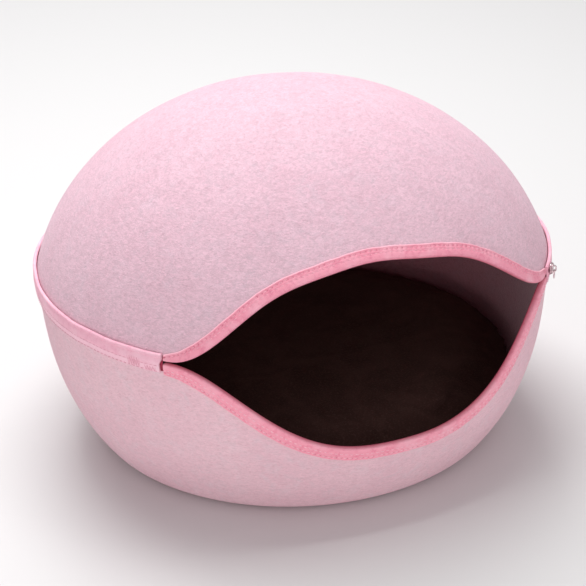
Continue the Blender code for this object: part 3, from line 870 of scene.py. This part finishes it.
def make_cushion(material):
    """Cushion blown up by cloth pressure from a slightly smaller form, then held inside the felt."""
    points, faces = revolved(cushion_rows(0.003))
    piece = add_piece("cushion_cloth", points, faces, [material], "cushion", 180)
    voxels = piece.modifiers.new("Voxels", "REMESH")
    voxels.mode = "VOXEL"
    voxels.voxel_size = 0.006
    shape = evaluated(piece)
    piece.modifiers.clear()
    piece.data = shape
    before = coordinates(shape)
    after = before
    cloth = piece.modifiers.new("Filling", "CLOTH")
    cloth.settings.use_pressure = True
    cloth.settings.uniform_pressure_force = 4
    cloth.settings.effector_weights.gravity = 0
    for number in range(1, 21):
        bpy.context.scene.frame_set(number)
    after = coordinates(evaluated(piece))
    piece.modifiers.clear()
    bpy.context.scene.frame_set(1)
    move = after - before
    far = np.linalg.norm(move, axis=1, keepdims=True)
    place = before + move * np.minimum(1, CUSHION_SWELL / np.maximum(far, 1e-9))
    # Held by the felt: no wider than its inner face, no lower than its base
    radius = np.hypot(place[:, 0], place[:, 1])
    depth = np.clip(ZIP_HEIGHT - place[:, 2], 0, ZIP_HEIGHT - BASE_ROUND)
    wall = bowl_profile(depth) - FELT - CLOTH_CLEAR
    # The rim's seam draws the cloth in, and gathers it into small folds on the upper face
    angle = np.arctan2(place[:, 0], -place[:, 1])
    seam = 0.0016 * np.exp(-(((place[:, 2] - CUSHION_RIM - 0.004) / 0.0030) ** 2)) * (radius > 0.75 * wall)
    folds = np.sin(46 * angle + 3 * np.sin(5 * angle))
    gather = 0.0009 * folds * np.exp(-(((radius - wall + 0.012) / 0.014) ** 2))
    held = np.minimum(radius, wall) - seam
    place[:, :2] *= (held / np.maximum(radius, 1e-6))[:, None]
    place[:, 2] += gather * (place[:, 2] > CUSHION_RIM)
    place[:, 2] = np.clip(place[:, 2], FELT + GAP, CUSHION_TOP + 0.004)
    piece.data.vertices.foreach_set("co", place.ravel())
    piece.data.materials.clear()
    piece.data.materials.append(material)
    piece.data.shade_smooth()
    smooth = piece.modifiers.new("Smooth cloth", "SUBSURF")
    smooth.levels = smooth.render_levels = 1


# Stage

def add_light(name, place, target, size, watts):
    """Soft white rectangular lamp aimed at a point."""
    lamp = bpy.data.lights.new(name, "AREA")
    lamp.shape = "RECTANGLE"
    lamp.size, lamp.size_y = size
    lamp.energy = watts
    made = bpy.data.objects.new(name, lamp)
    bpy.context.collection.objects.link(made)
    back = np.array(place, float) - np.array(target, float)
    made.matrix_world = aimed(place, back / np.linalg.norm(back), 0.0)


def aimed(place, back, roll):
    """Matrix of a camera or lamp at a place, looking against back, rolled about its own axis."""
    right = np.cross((0, 0, 1), back)
    right /= np.linalg.norm(right)
    up = np.cross(back, right)
    right, up = right * math.cos(roll) + up * math.sin(roll), up * math.cos(roll) - right * math.sin(roll)
    return Matrix([[right[i], up[i], back[i], place[i]] for i in range(3)] + [[0, 0, 0, 1]])


def make_stage():
    """Plain pale floor, a white sky, soft lamps and the camera."""
    size = 6.0
    corners = np.array([(-size, -size, 0), (size, -size, 0), (size, size, 0), (-size, size, 0)])
    mesh = bpy.data.meshes.new("floor")
    mesh.from_pydata(corners.tolist(), [], [(0, 1, 2, 3)])
    board, _, _ = finish(
        "Satin white board floor", Base_Color=colour("D8D7D7"), Roughness=0.42, IOR=1.45,
        Specular_IOR_Level=0.45,
    )
    mesh.materials.append(board)
    floor = bpy.data.objects.new("floor", mesh)
    bpy.context.collection.objects.link(floor)
    world = bpy.data.worlds.new("studio")
    bpy.context.scene.world = world
    world.use_nodes = True
    sky = world.node_tree.nodes["Background"]
    sky.inputs["Color"].default_value = colour("FDFCFD")
    sky.inputs["Strength"].default_value = SKY
    for lamp in LAMPS:
        add_light(*lamp)
    camera = bpy.data.cameras.new("camera")
    camera.sensor_width = CAMERA_SENSOR
    camera.lens = CAMERA_LENS
    made = bpy.data.objects.new("camera", camera)
    bpy.context.collection.objects.link(made)
    made.matrix_world = aimed(CAMERA_PLACE, np.array(CAMERA_BACK), CAMERA_ROLL)
    bpy.context.scene.camera = made
    bpy.context.scene.view_settings.view_transform = "Standard"


make_stage()
# The inner face is drawn far darker than the outer felt of the same shells: painted shade of the bed's
# interior.
inside = felt("Needled felt, inner face darkened as painted shade", "AF6E79", "A46570", "965662", "A1707A", 0.2, fuzz=0.9)
make_dome(felt("Needled felt, dome", "EFCAD8", "E8BECD", "E0B4C4", "E4C7D4", 0.28), inside)
# The bowl's felt is drawn lighter than the dome's: painted light standing in for fill on the lower,
# downward-facing bowl.
make_bowl(felt("Needled felt, bowl, lightened as painted fill light", "F9D1DB", "F3C6D2", "EAB8C5", "EFD3DC", 0.18), inside)

# fold paints shade on each binding's fold and inner leg, and hole paints shade in the needle dimples.
brow_tape = woven(
    "Woven binding tape", "FFC8D6", "F8A2B6", "ED8CA4", "CB6077", needle_shade_share=0.8, hem_share=0.8, fold="C43E5A"
)
lip_tape = woven(
    "Woven binding tape, lip", "FFC2D0", "FFA9BC", "F693A9", "D8667F", needle_shade_share=0.9, hem_share=0.25,
    fold="C43E5A",
)
brow_thread = thread("Pink sewing thread", "F9BBCA", "E799AE")
lip_thread = thread("Pale sewing thread", "FFD0DC", "F5B4C4")
make_binding("brow_binding", brow, 1, BROW_BINDING, brow_tape, brow_thread, "dome_binding", BROW_ROW)
make_binding("lip_binding", lip, -1, LIP_BINDING, lip_tape, lip_thread, "bowl_binding", LIP_ROW)

cover_tape = woven(
    "Woven zip cover tape", "FFD5E2", "FABED0", "F2AFC4", "E396AD", weave_share=0.18, hem_share=0.55,
    hem_from=7.2, hem_to=6.2,
)
make_cover(cover_tape, thread("Cover sewing thread", "F2B8C9", "E8A8BB"))
zip_tape = woven("Woven zip tape", "A83450", "942A44", "7E1F37", "641528")
make_zip(zip_tape, nylon("Nylon zip teeth", "C75874", "B04460"))
make_slider(plated("Nickel-plated zip slider, pink painted felt reflection"))
make_cushion(brushed_cloth("Brushed brown cloth", "5A423D", "4A322E", "392421"))
